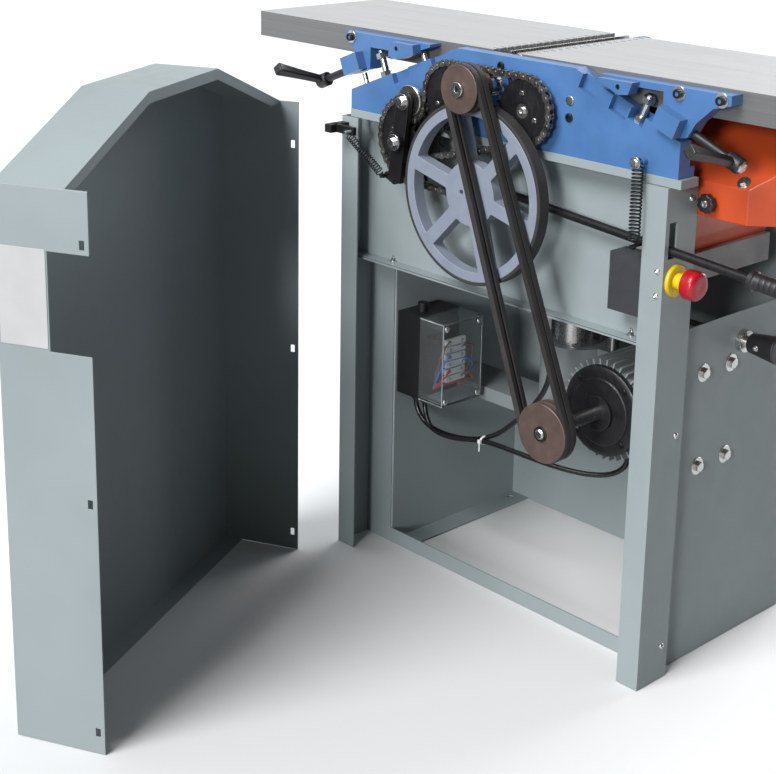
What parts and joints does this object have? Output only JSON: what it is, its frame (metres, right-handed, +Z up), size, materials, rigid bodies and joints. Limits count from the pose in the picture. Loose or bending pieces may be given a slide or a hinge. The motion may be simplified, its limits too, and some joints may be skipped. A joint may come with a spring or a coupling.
{
  "type": "combination planer thicknesser",
  "caption": "Combination planer thicknesser on a steel stand, drive side open, with its sheet metal drive cover stood in front.",
  "frame": {"origin": "on the floor at the middle of the four floor bolt holes", "axes": "+X along the tables to the crank side, +Y from the drive side to the hinge side, +Z up"},
  "size_m": [1.1013, 1.0468, 0.845],
  "materials": {
    "grey_paint": "satin",
    "cover_paint": "satin",
    "blue_paint": "satin",
    "cast_table": "ground",
    "bright_steel": "satin",
    "chain_steel": "oiled",
    "black_steel": "satin",
    "wheel_alloy": "cast",
    "brown_pulley": "satin",
    "motor_grey": "satin",
    "tyre_rubber": "matte",
    "black_plastic": "matte",
    "grey_plastic": "matte",
    "clear_plastic": "clear",
    "orange_paint": "satin",
    "red_plastic": "gloss",
    "yellow_plastic": "gloss",
    "bare_plate": "satin"
  },
  "bodies": {
    "machine": {"drive_side_frame": "grey_paint", "upper_wall": "grey_paint", "shelf_angle": "grey_paint", "casting_ledge": "grey_paint", "cabinet_shell": "grey_paint", "frame_screws": "bright_steel", "near_casting": "blue_paint", "far_casting": "blue_paint", "table_fixings": "bright_steel", "shaft_bearings": "bright_steel", "v_belts": "tyre_rubber", "motor_body": "motor_grey", "motor_end_caps": "black_steel", "motor_foot_plate": "motor_grey", "wall_studs": "black_steel", "lever_spring": "bright_steel", "reduction_chain": "chain_steel", "feed_chain": "chain_steel", "tension_spring": "bright_steel", "lift_sleeve": "black_steel", "stop_ring": "yellow_plastic", "stop_contact_box": "grey_plastic", "electrical_box": "black_plastic", "electrical_lid": "clear_plastic", "motor_cable": "tyre_rubber", "stop_cable": "tyre_rubber", "drive_cover": "cover_paint", "cover_label": "bare_plate"},
    "cutter": {"cutter_block": "bright_steel", "cutter_knives": "bright_steel", "cutter_pulley": "brown_pulley", "friction_roller": "brown_pulley"},
    "motor_rotor": {"motor_shaft": "bright_steel", "motor_pulley": "brown_pulley"},
    "feed_lever": {"lever_rod": "black_steel", "lever_grip": "black_plastic"},
    "friction_wheel": {"feed_wheel": "wheel_alloy", "wheel_tyre": "tyre_rubber", "drive_sprocket": "chain_steel"},
    "intermediate": {"intermediate_sprockets": "chain_steel"},
    "infeed": {"infeed_roller": "bright_steel", "infeed_sprocket": "black_steel"},
    "outfeed": {"outfeed_roller": "bright_steel", "outfeed_sprocket": "black_steel"},
    "tensioner": {"tensioner_arm": "black_steel"},
    "idler": {"idler_roller": "chain_steel"},
    "left_planer_table": {"left_table": "cast_table", "left_table_bracket": "blue_paint"},
    "right_planer_table": {"right_table": "cast_table", "right_table_bracket": "blue_paint"},
    "left_clamp": {"left_clamp_lever": "black_steel"},
    "right_clamp": {"right_clamp_lever": "black_steel"},
    "bed": {"thicknesser_bed": "cast_table", "lift_column": "bright_steel"},
    "lifting_screw": {"lift_screw": "bright_steel"},
    "crank": {"crank_shaft": "bright_steel", "crank_handle": "black_plastic"},
    "hood": {"dust_hood": "orange_paint", "hood_knob": "black_plastic"},
    "stop": {"stop_button": "red_plastic"}
  },
  "joints": [
    {"name": "cutter_spin", "type": "hinge", "parent": "machine", "child": "cutter", "pos_m": [0, 0, 0.802], "axis": [0, 1, 0], "continuous": true},
    {"name": "motor_spin", "type": "hinge", "parent": "machine", "child": "motor_rotor", "pos_m": [0.174, -0.2, 0.356], "axis": [0, 1, 0], "continuous": true},
    {"name": "lever_lift", "type": "hinge", "parent": "machine", "child": "feed_lever", "pos_m": [-0.006, -0.195, 0.6512], "axis": [0, -1, 0], "range_deg": [0, 5], "deforming": ["lever_spring"]},
    {"name": "wheel_spin", "type": "hinge", "parent": "feed_lever", "child": "friction_wheel", "pos_m": [0, -0.23, 0.6512], "axis": [0, 1, 0], "continuous": true},
    {"name": "intermediate_spin", "type": "hinge", "parent": "machine", "child": "intermediate", "pos_m": [-0.157, -0.22, 0.699], "axis": [0, 1, 0], "continuous": true},
    {"name": "infeed_spin", "type": "hinge", "parent": "machine", "child": "infeed", "pos_m": [0.071, 0, 0.777], "axis": [0, 1, 0], "continuous": true},
    {"name": "outfeed_spin", "type": "hinge", "parent": "machine", "child": "outfeed", "pos_m": [-0.071, 0, 0.777], "axis": [0, 1, 0], "continuous": true},
    {"name": "tensioner_swing", "type": "hinge", "parent": "machine", "child": "tensioner", "pos_m": [-0.157, -0.22, 0.699], "axis": [0, -1, 0], "range_deg": [0, 2], "stiffness_Nm_per_rad": 5, "springref_deg": -17.19, "deforming": ["tension_spring"]},
    {"name": "idler_spin", "type": "hinge", "parent": "tensioner", "child": "idler", "pos_m": [-0.149, -0.222, 0.759], "axis": [0, 1, 0], "continuous": true},
    {"name": "left_table_tilt", "type": "hinge", "parent": "machine", "child": "left_planer_table", "pos_m": [-0.28, 0.112, 0.818], "axis": [-1, 0, 0], "range_deg": [0, 90]},
    {"name": "right_table_tilt", "type": "hinge", "parent": "machine", "child": "right_planer_table", "pos_m": [0.28, 0.112, 0.818], "axis": [-1, 0, 0], "range_deg": [0, 90]},
    {"name": "left_clamp_turn", "type": "hinge", "parent": "left_planer_table", "child": "left_clamp", "pos_m": [-0.3, -0.193, 0.785], "axis": [-0.9272, 0, -0.3746], "range_deg": [-30, 60]},
    {"name": "right_clamp_turn", "type": "hinge", "parent": "right_planer_table", "child": "right_clamp", "pos_m": [0.32, -0.193, 0.787], "axis": [0.9272, 0, -0.3746], "range_deg": [-60, 30]},
    {"name": "crank_turn", "type": "hinge", "parent": "machine", "child": "crank", "pos_m": [0.35, 0, 0.46], "axis": [1, 0, 0], "range_deg": [-720, 3600]},
    {"name": "bed_lift", "type": "slide", "parent": "machine", "child": "bed", "axis": [0, 0, 1], "range_m": [-0.05, 0.01]},
    {"name": "screw_turn", "type": "hinge", "parent": "machine", "child": "lifting_screw", "pos_m": [0.072, 0, 0.45], "axis": [0, 0, 1], "range_deg": [-720, 3600]},
    {"name": "hood_out", "type": "slide", "parent": "bed", "child": "hood", "axis": [1, 0, 0], "range_m": [0, 0.2]},
    {"name": "stop_press", "type": "slide", "parent": "machine", "child": "stop", "axis": [-1, 0, 0], "range_m": [0, 0.005], "stiffness_N_per_m": 1500}
  ],
  "couplings": [
    {"joint": "motor_spin", "follows": "cutter_spin", "ratio": 0.80952},
    {"joint": "intermediate_spin", "follows": "wheel_spin", "ratio": 0.32258},
    {"joint": "infeed_spin", "follows": "wheel_spin", "ratio": 0.19635},
    {"joint": "outfeed_spin", "follows": "wheel_spin", "ratio": 0.19635},
    {"joint": "idler_spin", "follows": "wheel_spin", "ratio": -0.31314},
    {"joint": "crank_turn", "follows": "bed_lift", "rad_per_m": -1256.6},
    {"joint": "screw_turn", "follows": "bed_lift", "rad_per_m": -1256.6}
  ]
}
